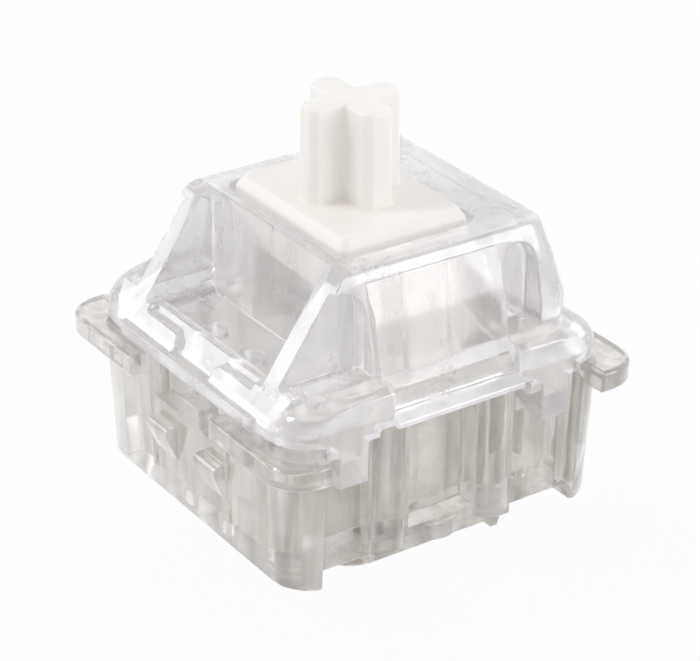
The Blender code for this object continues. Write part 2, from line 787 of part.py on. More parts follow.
def front_between_toes():
    """The sunk front under the LED recess, which leaves a round-ended toe at the foot of each rib."""
    low = SKIRT_BOTTOM + SKIRT_HEIGHT / 2
    high = LED_FLOOR_HEIGHT + SILL_HEIGHT + CUT
    beyond = -FLANGE_WIDTH
    side_view = plate(
        "sunk_front",
        [
            (south_face_y(low, FRONT_SINK), low),
            (south_face_y(high, FRONT_SINK), high),
            (beyond, high),
            (beyond, low),
        ],
        (-COVER_TOP_WIDTH / 2, COVER_TOP_WIDTH / 2),
        "X",
    )
    gap = TOE_GAP / 2
    half = RIB_INNER_PITCH / 2 - TOE_STEP
    radius = TOE_RADIUS
    outline = [(-gap, low - CUT), (gap, low - CUT)]
    outline += arc((gap + radius, TOE_HEIGHT - radius), radius, 180, 90)
    outline += [(half, TOE_HEIGHT), (half, high + CUT), (-half, high + CUT), (-half, TOE_HEIGHT)]
    outline += arc((-gap - radius, TOE_HEIGHT - radius), radius, 90, 0)
    front_view = plate("sunk_front_outline", outline, (beyond - CUT, 0.0), "Y")
    boolean(side_view, front_view, "INTERSECT")
    return side_view


def cover_cavity():
    """The hollow under the cover, wide in the skirt, straight above it, and walled off from the LED recess."""
    wide_x = SKIRT_WIDTH / 2 - SKIRT_WALL
    wide_y = SKIRT_DEPTH / 2 - SKIRT_WALL
    radius = SKIRT_RADIUS - SKIRT_WALL
    ledge = LEDGE_HEIGHT - LEDGE_WALL
    cavity = loft(
        "skirt_cavity",
        [
            square_ring(wide_x, wide_y, radius, SKIRT_BOTTOM - CUT),
            square_ring(wide_x, wide_y, radius, SKIRT_BOTTOM + SKIRT_HEIGHT / 2),
            square_ring(WAIST_WIDTH / 2 - LEDGE_EDGE, wide_y - SHOULDER_RUN / 2, radius, ledge),
        ],
    )
    south = LED_WALL_Y
    upper = loft(
        "crown_cavity",
        [
            cover_ring(CAVITY_WIDTH, south, WAIST_NORTH - COVER_WALL, CAVITY_RADIUS, ledge - LAP),
            cover_ring(CAVITY_WIDTH, south, HIP_NORTH - COVER_WALL, CAVITY_RADIUS, HIP_HEIGHT),
            cover_ring(CAVITY_WIDTH, south, COVER_TOP_NORTH - COVER_WALL, CAVITY_RADIUS, COVER_CEILING),
        ],
    )
    wall_x = RIB_INNER_PITCH / 2 + LED_RECESS_WALL
    wall = block(
        "led_recess_wall",
        (-wall_x, wall_x),
        (-SKIRT_DEPTH / 2, LED_WALL_Y + LED_RECESS_WALL),
        (LED_FLOOR_HEIGHT - LED_RECESS_FLOOR, COVER_HEIGHT),
    )
    join(cavity, upper)
    cut(cavity, wall)
    return cavity


def side_pockets(shell):
    """The pockets beside each hood: arched on the contact side, and open through the rib on the LED side."""
    bottom = LEDGE_HEIGHT
    top = COVER_HEIGHT - POCKET_ROOF
    radius = (POCKET_OUTER - POCKET_INNER) / 2
    middle = (POCKET_OUTER + POCKET_INNER) / 2
    far = SKIRT_DEPTH / 2 + CUT
    north = [(POCKET_INNER, bottom), (POCKET_OUTER, bottom)]
    north += arc((middle, top - radius), radius, 0, 180, 10)
    south = [(-far, bottom), (-POCKET_INNER, bottom)]
    south += arc((-POCKET_INNER - radius, top - radius), radius, 0, 90)
    south.append((-far, top))
    for side, name in ((-1, "west"), (1, "east")):
        reach = span(side * POCKET_X, side * (SKIRT_WIDTH / 2 + CUT))
        cut(shell, plate(f"pocket_{name}_north", north, reach, "X"))
        cut(shell, plate(f"pocket_{name}_south", south, reach, "X"))


def clip_legs(shell):
    """The four legs that snap into the windows of the base, each under a flat shoulder."""
    outer = SKIRT_WIDTH / 2
    inner = outer - LEG_THICKNESS
    hook_top = LEG_BOTTOM + HOOK_HEIGHT
    for side, name in ((-1, "west"), (1, "east")):
        hook_x = side * (WINDOW_WALL_WIDTH / 2 - HOOK_REACH)
        for end, label in ((-1, "south"), (1, "north")):
            y = end * LEG_Y
            leg_profile = [
                (side * outer, SKIRT_TOP),
                (side * inner, SKIRT_TOP),
                (side * inner, hook_top),
                (hook_x, hook_top),
                (hook_x, hook_top - HOOK_LAND),
                (side * inner, LEG_BOTTOM),
                (side * (outer - SEAM), LEG_BOTTOM),
                (side * outer, LEG_BOTTOM + SEAM),
            ]
            leg = plate(f"clip_leg_{name}_{label}", leg_profile, (y - LEG_WIDTH / 2, y + LEG_WIDTH / 2), "Y")
            shoulder = block(
                f"clip_shoulder_{name}_{label}",
                span(side * inner, side * outer),
                span(
                    end * (WINDOW_BAY_INNER + WINDOW_CLEARANCE),
                    end * (WINDOW_BAY_OUTER - WINDOW_CLEARANCE),
                ),
                (LEG_SHOULDER_BOTTOM, SKIRT_TOP),
            )
            join(shell, leg, shoulder)


def side_hoods(shell):
    """The hoods over the base's columns, flared out to a foot in the middle of the east and west faces."""
    proud = HOOD_STAND_OUT
    foot = SKIRT_WIDTH / 2 + HOOD_FOOT_STAND_OUT
    root = COVER_TOP_WIDTH / 2 - LAP
    for side, name in ((-1, "west"), (1, "east")):
        profile = [
            (side * root, SKIRT_BOTTOM),
            (side * foot, SKIRT_BOTTOM),
            (side * foot, SKIRT_BOTTOM + SKIRT_HEIGHT / 2),
            (side * (SKIRT_WIDTH / 2 + HOOD_STAND_OUT / 2), SKIRT_TOP),
            (side * HOOD_KNEE_WIDTH / 2, HOOD_KNEE_HEIGHT),
            (side * (WAIST_WIDTH / 2 + proud), WAIST_HEIGHT),
            (side * (HIP_WIDTH / 2 + proud), HIP_HEIGHT),
            (side * (COVER_TOP_WIDTH / 2 + proud / 2), COVER_HEIGHT - 2 * COVER_EDGE),
            (side * (COVER_TOP_WIDTH / 2 - COVER_EDGE), COVER_HEIGHT - COVER_EDGE),
            (side * root, COVER_HEIGHT - COVER_EDGE),
        ]
        hood = plate(f"hood_{name}", profile, (-HOOD_WIDTH / 2, HOOD_WIDTH / 2), "Y")
        join(shell, hood)


def skirt_bar():
    """The low bar along the foot of the cover's south face."""
    front = -SKIRT_DEPTH / 2 - SKIRT_BAR_STAND_OUT
    reach = (-SKIRT_BAR_WIDTH / 2, SKIRT_BAR_WIDTH / 2)
    rings = [
        rounded_ring(reach, (front, front + LAP), SKIRT_BAR_STAND_OUT, z)
        for z in (SKIRT_BOTTOM, SKIRT_BOTTOM + SKIRT_BAR_HEIGHT)
    ]
    return loft("skirt_bar", rings)


def slider_opening(shell):
    """The square opening with its chamfered mouth, and the grooves for the slider's rails."""
    half_x = PLATE_WIDTH / 2 + SLIDE_CLEARANCE
    half_y = PLATE_DEPTH / 2 + SLIDE_CLEARANCE
    radius = PLATE_CORNER_RADIUS
    opening = loft(
        "slider_opening",
        [
            square_ring(half_x, half_y, radius, COVER_CEILING - CUT),
            square_ring(half_x, half_y, radius, COVER_HEIGHT - COVER_EDGE),
            square_ring(half_x + COVER_EDGE, half_y + COVER_EDGE, radius + COVER_EDGE, COVER_HEIGHT + SEAM),
            square_ring(half_x + COVER_EDGE, half_y + COVER_EDGE, radius + COVER_EDGE, COVER_HEIGHT + CUT),
        ],
    )
    groove = block(
        "rail_groove",
        (-GUIDE_X, GUIDE_X),
        (-RAIL_WIDTH / 2 - SLIDE_CLEARANCE, RAIL_WIDTH / 2 + SLIDE_CLEARANCE),
        (SKIRT_BOTTOM - CUT, COVER_CEILING),
    )
    cut(shell, opening, groove)


def build_top_housing(material):
    shell = latch_blocks()
    join(shell, cover_crown())
    side_hoods(shell)
    cut(shell, south_face(), front_between_toes())
    join(shell, skirt_bar())
    cut(shell, cover_cavity())
    clip_legs(shell)
    cut(shell, led_recess())
    side_pockets(shell)
    slider_opening(shell)
    for side, name in ((-1, "west"), (1, "east")):
        hole = rod(
            f"led_lead_hole_{name}",
            LED_HOLE_DIAMETER / 2,
            (LED_FLOOR_HEIGHT - LED_RECESS_FLOOR - CUT, LED_FLOOR_HEIGHT + CUT),
            side * LED_HOLE_PITCH / 2,
            LED_HOLE_Y,
            20,
        )
        cut(shell, hole)
    finish(shell, material)
    return shell


def cross_ring(inset, z):
    """The outline of the keycap cross, its outer corners cut by a small chamfer."""
    reach = CROSS_SPAN / 2 - inset
    east = CROSS_ARM_EAST / 2 - inset
    north = CROSS_ARM_NORTH / 2 - inset
    nip = CROSS_CORNER
    quarter = [
        (north, east),
        (reach - nip, east),
        (reach, east - nip),
        (reach, nip - east),
        (reach - nip, -east),
        (north, -east),
    ]
    ring = list(quarter)
    ring += [(north, nip - reach), (north - nip, -reach), (nip - north, -reach), (-north, nip - reach)]
    ring += [(-x, -y) for x, y in quarter]
    ring += [(-north, reach - nip), (nip - north, reach), (north - nip, reach), (north, reach - nip)]
    return [(x, y, z) for x, y in ring]


def contact_fingers(slider):
    """The two fingers on the contact side, whose cams hold the moving leaf off its partner at rest."""
    back = PLATE_DEPTH / 2 - FINGER_THICKNESS
    cam_top = FINGER_BOTTOM + CAM_HEIGHT
    profile = [
        (back, CROWN_LAP),
        (back, FINGER_BOTTOM),
        (FINGER_FRONT_Y - CAM_REACH, FINGER_BOTTOM),
        (FINGER_FRONT_Y, FINGER_BOTTOM + CAM_NOSE_BOTTOM),
        (FINGER_FRONT_Y, FINGER_BOTTOM + CAM_NOSE_TOP),
        (FINGER_FRONT_Y - CAM_REACH, cam_top),
        (FINGER_FRONT_Y - CAM_REACH - SLIDE_CLEARANCE, CROWN_LAP),
    ]
    for side, name in ((-1, "west"), (1, "east")):
        middle = side * FINGER_X
        finger = plate(
            f"finger_{name}", profile, (middle - FINGER_WIDTH / 2, middle + FINGER_WIDTH / 2), "X"
        )
        join(slider, finger)


def build_stem(material):
    half_x = PLATE_WIDTH / 2
    half_y = PLATE_DEPTH / 2
    slider = loft(
        "stem",
        [
            square_ring(half_x, half_y, PLATE_CORNER_RADIUS, CROWN_BOTTOM),
            square_ring(half_x, half_y, PLATE_CORNER_RADIUS, COVER_HEIGHT + SEAM),
            square_ring(half_x - PLATE_SLOPE, half_y - PLATE_SLOPE, PLATE_CORNER_RADIUS, SLIDER_PLATE_TOP),
        ],
    )
    cross = loft(
        "keycap_cross",
        [
            cross_ring(0.0, SLIDER_PLATE_TOP - PLATE_RISE),
            cross_ring(CROSS_DRAFT, STEM_TOP - CROSS_EDGE),
            cross_ring(CROSS_DRAFT + CROSS_EDGE / 4, STEM_TOP - CROSS_EDGE / 4),
            cross_ring(CROSS_DRAFT + CROSS_EDGE, STEM_TOP),
        ],
    )
    join(slider, cross)
    for side, name in ((-1, "west"), (1, "east")):
        cheek = block(
            f"cheek_{name}",
            span(side * (half_x - CHEEK_THICKNESS), side * half_x),
            (-CHEEK_DEPTH / 2, CHEEK_DEPTH / 2),
            (CHEEK_BOTTOM, CROWN_LAP),
        )
        rail = loft(
            f"rail_{name}",
            [
                rounded_ring(
                    span(side * (half_x - CHEEK_THICKNESS / 2), side * RAIL_X),
                    (-RAIL_WIDTH / 2, RAIL_WIDTH / 2),
                    RAIL_RADIUS,
                    z,
                    3,
                )
                for z in (CHEEK_BOTTOM - SLIDE_CLEARANCE, RAIL_TOP)
            ],
        )
        join(slider, cheek, rail)
    contact_fingers(slider)
    radius = POLE_DIAMETER / 2
    pole = turned(
        "guide_pole",
        [
            (0.0, CROWN_LAP),
            (radius, CROWN_LAP),
            (radius, POLE_BOTTOM + POLE_TIP),
            (radius - POLE_TIP / 3, POLE_BOTTOM + POLE_TIP / 3),
            (radius - POLE_TIP, POLE_BOTTOM),
            (0.0, POLE_BOTTOM),
        ],
        28,
    )
    join(slider, pole)
    finish(slider, material)
    return slider


def helix_points(turns, end_turns, radius, bottom, top):
    """A coil whose end turns lie closed, so that each end seats flat."""
    wire = SPRING_WIRE
    closed = end_turns * wire
    points = []
    count = round(turns * SPRING_POINTS_PER_TURN)
    for index in range(count + 1):
        turn = index / SPRING_POINTS_PER_TURN
        if turn < end_turns:
            z = bottom + wire * turn
        elif turn > turns - end_turns:
            z = top - wire * (turns - turn)
        else:
            share = (turn - end_turns) / (turns - 2 * end_turns)
            z = blended(bottom + closed, top - closed, share)
        angle = 2 * math.pi * turn
        points.append((radius * math.cos(angle), radius * math.sin(angle), z))
    return points


def build_spring(material):
    curve = bpy.data.curves.new("return_spring", "CURVE")
    curve.dimensions = "3D"
    curve.bevel_depth = SPRING_WIRE / 2
    curve.bevel_resolution = 2
    curve.use_fill_caps = True
    spline = curve.splines.new("POLY")
    points = helix_points(
        SPRING_TURNS,
        SPRING_END_TURNS,
        (SPRING_DIAMETER - SPRING_WIRE) / 2,
        FLOOR + SPRING_GAP + SPRING_WIRE / 2,
        CROWN_BOTTOM - SPRING_GAP - SPRING_WIRE / 2,
    )
    spline.points.add(len(points) - 1)
    for point, place in zip(spline.points, points):
        point.co = (*place, 1.0)
    spring = add_object("return_spring", curve)
    finish(spring, material)
    return spring


def ribbon(name, path, z):
    """An upright strip of sheet along a path in plan, thickened evenly about it."""

    def build(work):
        rows = [(work.verts.new((x, y, z[0])), work.verts.new((x, y, z[1]))) for x, y in path]
        for (low, high), (next_low, next_high) in zip(rows, rows[1:]):
            work.faces.new((low, next_low, next_high, high))

    made = add_object(name, mesh_from(name, build))
    sheet = made.modifiers.new("sheet", "SOLIDIFY")
    sheet.thickness = LEAF_THICKNESS
    sheet.offset = 0.0
    sheet.use_even_offset = True
    return made


def pin_outline(middle):
    """A solder pin with a tapered tip, coined thicker than its leaf and lapped a little way up it."""
    half = PIN_WIDTH / 2
    tip = PIN_TIP_WIDTH / 2
    top = FLOOR + PIN_LAP
    return [
        (middle - half, top),
        (middle - half, PIN_TAPER - PIN_LENGTH),
        (middle - tip, -PIN_LENGTH),
        (middle + tip, -PIN_LENGTH),
        (middle + half, PIN_TAPER - PIN_LENGTH),
        (middle + half, top),
    ]


def build_fixed_leaf(material):
    thin = LEAF_THICKNESS / 2
    thick = PIN_THICKNESS / 2
    leaf = block(
        "fixed_contact_leaf",
        (FIXED_PIN_X - FIXED_LEAF_WIDTH / 2, FIXED_PIN_X + FIXED_LEAF_WIDTH / 2),
        (FIXED_PIN_Y - thin, FIXED_PIN_Y + thin),
        (LEAF_FOOT, FIXED_LEAF_TOP),
    )
    pin = plate("fixed_pin", pin_outline(FIXED_PIN_X), (FIXED_PIN_Y - thick, FIXED_PIN_Y + thick), "Y")
    join(leaf, pin)
    finish(leaf, material)
    return leaf


def build_moving_leaf(material):
    """A strip that rises from its pin, bends round a corner and reaches along the cams as two fingers."""
    root_south = MOVING_PIN_Y - MOVING_ROOT_WIDTH / 2
    root_north = MOVING_PIN_Y + MOVING_ROOT_WIDTH / 2
    corner = (MOVING_PIN_X + LEAF_BEND_RADIUS, ARM_Y - LEAF_BEND_RADIUS)
    path = [(MOVING_PIN_X, root_south)]
    bend_steps = 6
    for step in range(bend_steps + 1):
        angle = math.radians(180 - 90 * step / bend_steps)
        path.append(
            (corner[0] + LEAF_BEND_RADIUS * math.cos(angle), corner[1] + LEAF_BEND_RADIUS * math.sin(angle))
        )
    arm_end = FIXED_PIN_X + POINT_LENGTH
    path.append((arm_end, ARM_Y))
    leaf = ribbon("moving_contact_leaf", path, (LEAF_FOOT, FLANGE_TOP))
    under_arm = block(
        "under_arm",
        (MOVING_PIN_X - CUT, arm_end + CUT),
        (root_north, ARM_Y + CUT),
        (LEAF_FOOT - CUT, MOVING_ARM_BOTTOM),
    )
    slot_middle = MOVING_ARM_BOTTOM + MOVING_ARM_HEIGHT / 2
    slot = block(
        "leaf_slot",
        (corner[0] + LEAF_BEND_RADIUS, FIXED_PIN_X - POINT_LENGTH),
        (ARM_Y - LAP, ARM_Y + LAP),
        (slot_middle - LEAF_SLOT_HEIGHT / 2, slot_middle + LEAF_SLOT_HEIGHT / 2),
    )
    thick = PIN_THICKNESS / 2
    pin = plate("moving_pin", pin_outline(MOVING_PIN_Y), (MOVING_PIN_X - thick, MOVING_PIN_X + thick), "X")
    cut(leaf, under_arm, slot)
    join(leaf, pin)
    finish(leaf, material)
    return leaf


def build_point(name, face_y, direction, along, material):
    """A crosspoint: a short bar with a ridge, welded to a leaf and turned a quarter against its partner."""
    half = POINT_WIDTH / 2
    ridge = POINT_RIDGE_WIDTH / 2
    outline = [(-half, 0.0), (half, 0.0), (ridge, POINT_HEIGHT), (-ridge, POINT_HEIGHT)]
    back = face_y + direction * WELD_GAP
    reach = POINT_LENGTH / 2
    if along == "X":
        profile = [(back + direction * height, POINT_Z + offset) for offset, height in outline]
        point = plate(name, profile, (FIXED_PIN_X - reach, FIXED_PIN_X + reach), "X")
    else:
        profile = [(FIXED_PIN_X + offset, back + direction * height) for offset, height in outline]
        point = plate(name, profile, (POINT_Z - reach / 2, POINT_Z + reach / 2), "Z")
    finish(point, material)
    return point


def main():
    clear_plastic = make_material("clear_polycarbonate", (0.93, 0.93, 0.94), 0.12, transmission=0.9)
    cream_plastic = make_material("cream_acetal", (0.93, 0.91, 0.86), 0.35)
    steel = make_material("spring_steel", (0.62, 0.62, 0.63), 0.25, metallic=1.0)
    bronze = make_material("tinned_bronze", (0.74, 0.70, 0.64), 0.35, metallic=1.0)
    gold = make_material("gold_alloy", (0.90, 0.72, 0.38), 0.25, metallic=1.0)
    leaf_half = LEAF_THICKNESS / 2
    built = [
        build_bottom_housing(clear_plastic),
        build_top_housing(clear_plastic),
        build_stem(cream_plastic),
        build_fixed_leaf(bronze),
        build_moving_leaf(bronze),
        build_point("fixed_contact_point", FIXED_PIN_Y - leaf_half, -1, "X", gold),
        build_point("moving_contact_point", ARM_Y + leaf_half, 1, "Z", gold),
    ]
    for made in built:
        smooth(made)
    build_spring(steel)


main()
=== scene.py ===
"""Looks of the mechanical keyboard switch: clear housing, cream slider, metal contacts, and a pale studio."""

from __future__ import annotations

import logging
import math
from dataclasses import dataclass, field
from enum import Enum

import bmesh
import bpy
from mathutils import Matrix, Vector
from mathutils.geometry import intersect_line_line_2d

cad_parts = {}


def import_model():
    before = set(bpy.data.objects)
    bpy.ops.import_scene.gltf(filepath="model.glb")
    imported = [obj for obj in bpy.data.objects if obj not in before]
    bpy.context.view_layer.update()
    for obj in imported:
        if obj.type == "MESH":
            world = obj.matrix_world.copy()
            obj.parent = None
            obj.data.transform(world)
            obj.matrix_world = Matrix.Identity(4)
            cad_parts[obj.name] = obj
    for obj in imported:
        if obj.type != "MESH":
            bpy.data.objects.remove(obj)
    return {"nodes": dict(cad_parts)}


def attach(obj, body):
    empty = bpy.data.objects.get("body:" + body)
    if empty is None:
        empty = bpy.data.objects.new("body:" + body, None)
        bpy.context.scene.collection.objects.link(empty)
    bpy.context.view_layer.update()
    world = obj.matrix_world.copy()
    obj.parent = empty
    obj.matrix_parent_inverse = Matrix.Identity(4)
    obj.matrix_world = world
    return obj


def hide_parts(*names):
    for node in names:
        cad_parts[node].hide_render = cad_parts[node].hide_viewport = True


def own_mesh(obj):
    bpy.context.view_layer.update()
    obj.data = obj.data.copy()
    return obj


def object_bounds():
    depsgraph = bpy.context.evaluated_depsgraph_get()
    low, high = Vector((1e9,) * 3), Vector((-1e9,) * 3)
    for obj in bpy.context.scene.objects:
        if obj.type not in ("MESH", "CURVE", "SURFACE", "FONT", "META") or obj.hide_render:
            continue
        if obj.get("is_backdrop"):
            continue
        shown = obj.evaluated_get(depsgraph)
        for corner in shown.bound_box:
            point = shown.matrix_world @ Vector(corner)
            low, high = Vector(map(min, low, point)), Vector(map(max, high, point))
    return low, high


LOG = logging.getLogger("keyboard_switch")
MM = 0.001
IMAGE_WIDTH, IMAGE_HEIGHT = 700, 661
FLOOR_GAP = 0.02 * MM
SMALLEST_SQUARE = 1e-18
# A Mix node's colour sockets by number, because its sockets of other kinds have the same names
MIX_FIRST, MIX_SECOND, MIX_RESULT = 6, 7, 2

Colour = tuple[float, float, float]
Stretch = tuple[float, float, float]
Socket = bpy.types.NodeSocket


class Body(Enum):
    """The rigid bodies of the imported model."""

    HOUSING = "housing"
    SLIDER = "slider"


class Slot(Enum):
    """The names of the record's material slots for the scene's own pieces."""

    CLEAR = "clear_plastic"
    CREAM = "cream_plastic"
    SPRING = "spring_steel"


class Light(Enum):
    """How a lamp reaches the object."""

    SOFTBOX = "AREA"
    DISTANT = "SUN"


def place_in_scene(name: str, data: bpy.types.ID) -> bpy.types.Object:
    """Makes an object at the origin and puts it in the scene.

    Args:
        name: The object's name.
        data: Its mesh, light or camera.

    Returns:
        The new object.
    """
    made = bpy.data.objects.new(name, data)
    bpy.context.scene.collection.objects.link(made)
    return made


# Short ways to add and join nodes, and the effects that finishes share


@dataclass
class NodeSheet:
    """A node tree with short ways to add and join its nodes."""

    tree: bpy.types.NodeTree

    def add(self, kind: str, **settings: object) -> bpy.types.Node:
        """Adds a node.

        Args:
            kind: The node's type name.
            settings: Properties set on the node itself.

        Returns:
            The new node.
        """
        node = self.tree.nodes.new(kind)
        for name, value in settings.items():
            setattr(node, name, value)
        return node

    def join(self, source: Socket, target: Socket) -> None:
        """Links an output to an input."""
        self.tree.links.new(source, target)

    def math(self, operation: str, first: Socket | float, second: Socket | float) -> Socket:
        """Adds a Math node.

        Args:
            operation: The operation's name.
            first: The first socket or number.
            second: The second socket or number.

        Returns:
            The node's output.
        """
        node = self.add("ShaderNodeMath", operation=operation)
        for index, value in enumerate((first, second)):
            if isinstance(value, (int, float)):
                node.inputs[index].default_value = value
            else:
                self.join(value, node.inputs[index])
        return node.outputs[0]

    def mix(self, share: Socket, first: Socket, second: Socket) -> Socket:
        """Blends two colours.

        Args:
            share: Where the second colour shows.
            first: The first colour's socket.
            second: The second colour's socket.

        Returns:
            The blended colour.
        """
        node = self.add("ShaderNodeMix", data_type="RGBA")
        self.join(share, node.inputs["Factor"])
        self.join(first, node.inputs[MIX_FIRST])
        self.join(second, node.inputs[MIX_SECOND])
        return node.outputs[MIX_RESULT]

    def ramp(self, value: Socket, low: float, high: float) -> Socket:
        """Stretches a value between two limits to the range from 0 to 1.

        Args:
            value: The value's socket.
            low: The limit that becomes 0.
            high: The limit that becomes 1.

        Returns:
            The stretched value.
        """
        node = self.add("ShaderNodeMapRange", interpolation_type="SMOOTHSTEP")
        self.join(value, node.inputs["Value"])
        node.inputs["From Min"].default_value = low
        node.inputs["From Max"].default_value = high
        return node.outputs["Result"]

    def noise(self, place: Socket, scale: Socket | float, detail: float, roughness: float = 0.5) -> Socket:
        """Adds a noise.

        Args:
            place: The coordinates that it reads.
            scale: Its scale, a number or a socket.
            detail: How many octaves it has.
            roughness: How strong the fine octaves are.

        Returns:
            The noise's value.
        """
        node = self.add("ShaderNodeTexNoise")
        self.join(place, node.inputs["Vector"])
        if isinstance(scale, (int, float)):
            node.inputs["Scale"].default_value = scale
        else:
            self.join(scale, node.inputs["Scale"])
        node.inputs["Detail"].default_value = detail
        node.inputs["Roughness"].default_value = roughness
        return node.outputs["Fac"]

    def show_blend(self, share: Socket, first: Socket, second: Socket, output: str) -> None:
        """Blends two shaders and sends the blend to the tree's output.

        Args:
            share: Where the second shader shows.
            first: The first shader's socket.
            second: The second shader's socket.
            output: The name of the tree's output node.
        """
        blend = self.add("ShaderNodeMixShader")
        for index, source in enumerate((share, first, second)):
            self.join(source, blend.inputs[index])
        self.join(blend.outputs[0], self.tree.nodes[output].inputs["Surface"])


@dataclass
class EffectGroup:
    """A shared shader node group that is built once."""

    name: str
    inputs: dict[str, str]
    outputs: dict[str, str]
    group: bpy.types.NodeTree | None = None

    def start(self) -> tuple[NodeSheet, bpy.types.Node, bpy.types.Node]:
        """Makes the group with its sockets.

        Returns:
            The sheet, the node of its inputs and the node of its outputs.
        """
        self.group = bpy.data.node_groups.new(self.name, "ShaderNodeTree")
        for name, kind in self.inputs.items():
            self.group.interface.new_socket(name=name, in_out="INPUT", socket_type=kind)
        for name, kind in self.outputs.items():
            self.group.interface.new_socket(name=name, in_out="OUTPUT", socket_type=kind)
        sheet = NodeSheet(self.group)
        return sheet, sheet.add("NodeGroupInput"), sheet.add("NodeGroupOutput")

    def place(self, sheet: NodeSheet, values: dict[str, object]) -> bpy.types.Node:
        """Places the group in a material.

        Args:
            sheet: The material's nodes.
            values: A value or a socket for each named input.

        Returns:
            The group's node.
        """
        node = sheet.add("ShaderNodeGroup", node_tree=self.group)
        for name, value in values.items():
            if isinstance(value, bpy.types.NodeSocket):
                sheet.join(value, node.inputs[name])
            else:
                node.inputs[name].default_value = value
        return node


FLOAT, COLOUR, VECTOR = "NodeSocketFloat", "NodeSocketColor", "NodeSocketVector"


@dataclass(frozen=True)
class MouldHaze:
    """The slow clouding of moulded plastic, with streaks laid over it: faint drawn lines of the stock, and on
    clear plastic painted bright and dark bands of refracted light.
    """

    cloud_detail: float = 3.0
    clear_below: float = 0.35
    cloudy_above: float = 0.68
    fine_scale: float = 9.0
    fine_detail: float = 2.0
    fine_share: float = 0.2

    def build(self) -> EffectGroup:
        """Builds the effect's group.

        Returns:
            The group, which gives a colour and a roughness.
        """
        effect = EffectGroup(
            "mould_haze",
            {
                "Place": VECTOR,
                "Scale": FLOAT,
                "Clear": COLOUR,
                "Cloudy": COLOUR,
                "Smooth": FLOAT,
                "Dull": FLOAT,
                "Streaks": FLOAT,
                "Drawn Line And Painted Streak Share": FLOAT,
            },
            {"Colour": COLOUR, "Roughness": FLOAT},
        )
        sheet, group_input, result = effect.start()
        given = group_input.outputs
        slow = sheet.noise(given["Place"], given["Scale"], self.cloud_detail)
        cloud = sheet.ramp(slow, self.clear_below, self.cloudy_above)
        fine_scale = sheet.math("MULTIPLY", given["Scale"], self.fine_scale)
        fine = sheet.noise(given["Place"], fine_scale, self.fine_detail)
        slow_part = sheet.math("MULTIPLY", cloud, 1.0 - self.fine_share)
        clouds = sheet.math("ADD", slow_part, sheet.math("MULTIPLY", fine, self.fine_share))
        # The streaks are the stock's drawn lines, and on clear plastic painted bright and dark bands that
        # stand for light refracted through the walls.
        change = sheet.math("SUBTRACT", given["Streaks"], clouds)
        share = sheet.math("ADD", clouds, sheet.math("MULTIPLY", change, given["Drawn Line And Painted Streak Share"]))
        sheet.join(sheet.mix(share, given["Clear"], given["Cloudy"]), result.inputs["Colour"])
        spread = sheet.math("SUBTRACT", given["Dull"], given["Smooth"])
        roughness = sheet.math("ADD", given["Smooth"], sheet.math("MULTIPLY", spread, share))
        sheet.join(roughness, result.inputs["Roughness"])
        return effect


@dataclass(frozen=True)
class StockGrain:
    """The fine surface of moulded or stamped stock: soft waves with faint drawn lines."""

    wave_detail: float = 2.0
    line_detail: float = 3.0
    line_roughness: float = 0.6
    plain_below: float = 0.4
    drawn_above: float = 0.65
    line_height: float = 0.35

    def build(self) -> EffectGroup:
        """Builds the effect's group.

        Returns:
            The group, which gives a height and a mask of the lines.
        """
        effect = EffectGroup(
            "stock_grain",
            {"Place": VECTOR, "Wave Scale": FLOAT, "Line Scale": FLOAT, "Stretch": VECTOR},
            {"Height": FLOAT, "Lines": FLOAT},
        )
        sheet, group_input, result = effect.start()
        given = group_input.outputs
        wave = sheet.noise(given["Place"], given["Wave Scale"], self.wave_detail)
        stretched = sheet.add("ShaderNodeVectorMath", operation="MULTIPLY")
        sheet.join(given["Place"], stretched.inputs[0])
        sheet.join(given["Stretch"], stretched.inputs[1])
        lines = sheet.noise(stretched.outputs[0], given["Line Scale"], self.line_detail, self.line_roughness)
        sheet.join(sheet.ramp(lines, self.plain_below, self.drawn_above), result.inputs["Lines"])
        height = sheet.math("ADD", wave, sheet.math("MULTIPLY", lines, self.line_height))
        sheet.join(height, result.inputs["Height"])
        return effect


@dataclass(frozen=True)
class SharedEffects:
    """The effects that more than one finish uses, each built once."""

    haze: EffectGroup = field(default_factory=lambda: MouldHaze().build())
    grain: EffectGroup = field(default_factory=lambda: StockGrain().build())


# The finishes


